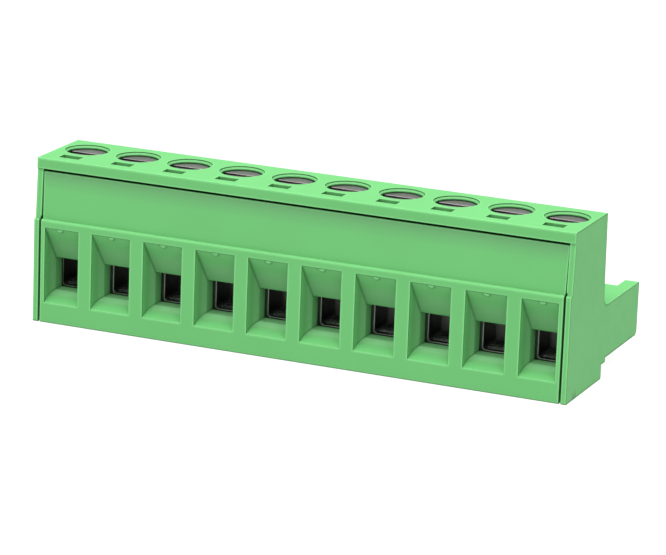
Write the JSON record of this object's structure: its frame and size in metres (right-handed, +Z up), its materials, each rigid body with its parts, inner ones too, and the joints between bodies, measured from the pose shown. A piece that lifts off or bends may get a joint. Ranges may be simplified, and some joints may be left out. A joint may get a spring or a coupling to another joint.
{
  "type": "pluggable terminal block",
  "caption": "Pluggable screw terminal block: wires enter front funnels, screws on top lift cages that clamp them, and the rear nose plugs over the pins of a board header.",
  "frame": {"origin": "on the base plane, under the middle of the whole block, nose included", "axes": "+X along the row of poles, +Y from the wire side towards the header, +Z up to the screws"},
  "size_m": [0.0508, 0.0182, 0.015],
  "materials": {
    "housing_plastic": "bright green moulded polyamide with a fine satin texture",
    "cover_plastic": "bright green moulded polyamide with a fine satin texture",
    "screw_steel": "zinc plated steel, turned head with fine rings",
    "cage_nickel": "dull nickel plated steel",
    "contact_tin": "matte tin plated copper alloy"
  },
  "bodies": {
    "housing": {"housing": "housing_plastic", "front_cover": "cover_plastic", "contact_1": "contact_tin", "contact_2": "contact_tin", "contact_3": "contact_tin", "contact_4": "contact_tin", "contact_5": "contact_tin", "contact_6": "contact_tin", "contact_7": "contact_tin", "contact_8": "contact_tin", "contact_9": "contact_tin", "contact_10": "contact_tin"},
    "screw_1": {"clamp_screw_1": "screw_steel"},
    "cage_1": {"clamp_cage_1": "cage_nickel"},
    "screw_2": {"clamp_screw_2": "screw_steel"},
    "cage_2": {"clamp_cage_2": "cage_nickel"},
    "screw_3": {"clamp_screw_3": "screw_steel"},
    "cage_3": {"clamp_cage_3": "cage_nickel"},
    "screw_4": {"clamp_screw_4": "screw_steel"},
    "cage_4": {"clamp_cage_4": "cage_nickel"},
    "screw_5": {"clamp_screw_5": "screw_steel"},
    "cage_5": {"clamp_cage_5": "cage_nickel"},
    "screw_6": {"clamp_screw_6": "screw_steel"},
    "cage_6": {"clamp_cage_6": "cage_nickel"},
    "screw_7": {"clamp_screw_7": "screw_steel"},
    "cage_7": {"clamp_cage_7": "cage_nickel"},
    "screw_8": {"clamp_screw_8": "screw_steel"},
    "cage_8": {"clamp_cage_8": "cage_nickel"},
    "screw_9": {"clamp_screw_9": "screw_steel"},
    "cage_9": {"clamp_cage_9": "cage_nickel"},
    "screw_10": {"clamp_screw_10": "screw_steel"},
    "cage_10": {"clamp_cage_10": "cage_nickel"}
  },
  "joints": [
    {"name": "screw_1_turn", "type": "hinge", "parent": "housing", "child": "screw_1", "pos_m": [-0.02286, -0.00386, 0.01462], "axis": [0, 0, 1], "range_deg": [-2160, 0]},
    {"name": "cage_1_rise", "type": "slide", "parent": "housing", "child": "cage_1", "axis": [0, 0, 1], "range_m": [0, 0.003]},
    {"name": "screw_2_turn", "type": "hinge", "parent": "housing", "child": "screw_2", "pos_m": [-0.01778, -0.00386, 0.01462], "axis": [0, 0, 1], "range_deg": [-2160, 0]},
    {"name": "cage_2_rise", "type": "slide", "parent": "housing", "child": "cage_2", "axis": [0, 0, 1], "range_m": [0, 0.003]},
    {"name": "screw_3_turn", "type": "hinge", "parent": "housing", "child": "screw_3", "pos_m": [-0.0127, -0.00386, 0.01462], "axis": [0, 0, 1], "range_deg": [-2160, 0]},
    {"name": "cage_3_rise", "type": "slide", "parent": "housing", "child": "cage_3", "axis": [0, 0, 1], "range_m": [0, 0.003]},
    {"name": "screw_4_turn", "type": "hinge", "parent": "housing", "child": "screw_4", "pos_m": [-0.00762, -0.00386, 0.01462], "axis": [0, 0, 1], "range_deg": [-2160, 0]},
    {"name": "cage_4_rise", "type": "slide", "parent": "housing", "child": "cage_4", "axis": [0, 0, 1], "range_m": [0, 0.003]},
    {"name": "screw_5_turn", "type": "hinge", "parent": "housing", "child": "screw_5", "pos_m": [-0.00254, -0.00386, 0.01462], "axis": [0, 0, 1], "range_deg": [-2160, 0]},
    {"name": "cage_5_rise", "type": "slide", "parent": "housing", "child": "cage_5", "axis": [0, 0, 1], "range_m": [0, 0.003]},
    {"name": "screw_6_turn", "type": "hinge", "parent": "housing", "child": "screw_6", "pos_m": [0.00254, -0.00386, 0.01462], "axis": [0, 0, 1], "range_deg": [-2160, 0]},
    {"name": "cage_6_rise", "type": "slide", "parent": "housing", "child": "cage_6", "axis": [0, 0, 1], "range_m": [0, 0.003]},
    {"name": "screw_7_turn", "type": "hinge", "parent": "housing", "child": "screw_7", "pos_m": [0.00762, -0.00386, 0.01462], "axis": [0, 0, 1], "range_deg": [-2160, 0]},
    {"name": "cage_7_rise", "type": "slide", "parent": "housing", "child": "cage_7", "axis": [0, 0, 1], "range_m": [0, 0.003]},
    {"name": "screw_8_turn", "type": "hinge", "parent": "housing", "child": "screw_8", "pos_m": [0.0127, -0.00386, 0.01462], "axis": [0, 0, 1], "range_deg": [-2160, 0]},
    {"name": "cage_8_rise", "type": "slide", "parent": "housing", "child": "cage_8", "axis": [0, 0, 1], "range_m": [0, 0.003]},
    {"name": "screw_9_turn", "type": "hinge", "parent": "housing", "child": "screw_9", "pos_m": [0.01778, -0.00386, 0.01462], "axis": [0, 0, 1], "range_deg": [-2160, 0]},
    {"name": "cage_9_rise", "type": "slide", "parent": "housing", "child": "cage_9", "axis": [0, 0, 1], "range_m": [0, 0.003]},
    {"name": "screw_10_turn", "type": "hinge", "parent": "housing", "child": "screw_10", "pos_m": [0.02286, -0.00386, 0.01462], "axis": [0, 0, 1], "range_deg": [-2160, 0]},
    {"name": "cage_10_rise", "type": "slide", "parent": "housing", "child": "cage_10", "axis": [0, 0, 1], "range_m": [0, 0.003]}
  ],
  "couplings": [
    {"joint": "screw_1_turn", "follows": "cage_1_rise", "rad_per_m": -12566},
    {"joint": "screw_2_turn", "follows": "cage_2_rise", "rad_per_m": -12566},
    {"joint": "screw_3_turn", "follows": "cage_3_rise", "rad_per_m": -12566},
    {"joint": "screw_4_turn", "follows": "cage_4_rise", "rad_per_m": -12566},
    {"joint": "screw_5_turn", "follows": "cage_5_rise", "rad_per_m": -12566},
    {"joint": "screw_6_turn", "follows": "cage_6_rise", "rad_per_m": -12566},
    {"joint": "screw_7_turn", "follows": "cage_7_rise", "rad_per_m": -12566},
    {"joint": "screw_8_turn", "follows": "cage_8_rise", "rad_per_m": -12566},
    {"joint": "screw_9_turn", "follows": "cage_9_rise", "rad_per_m": -12566},
    {"joint": "screw_10_turn", "follows": "cage_10_rise", "rad_per_m": -12566}
  ]
}
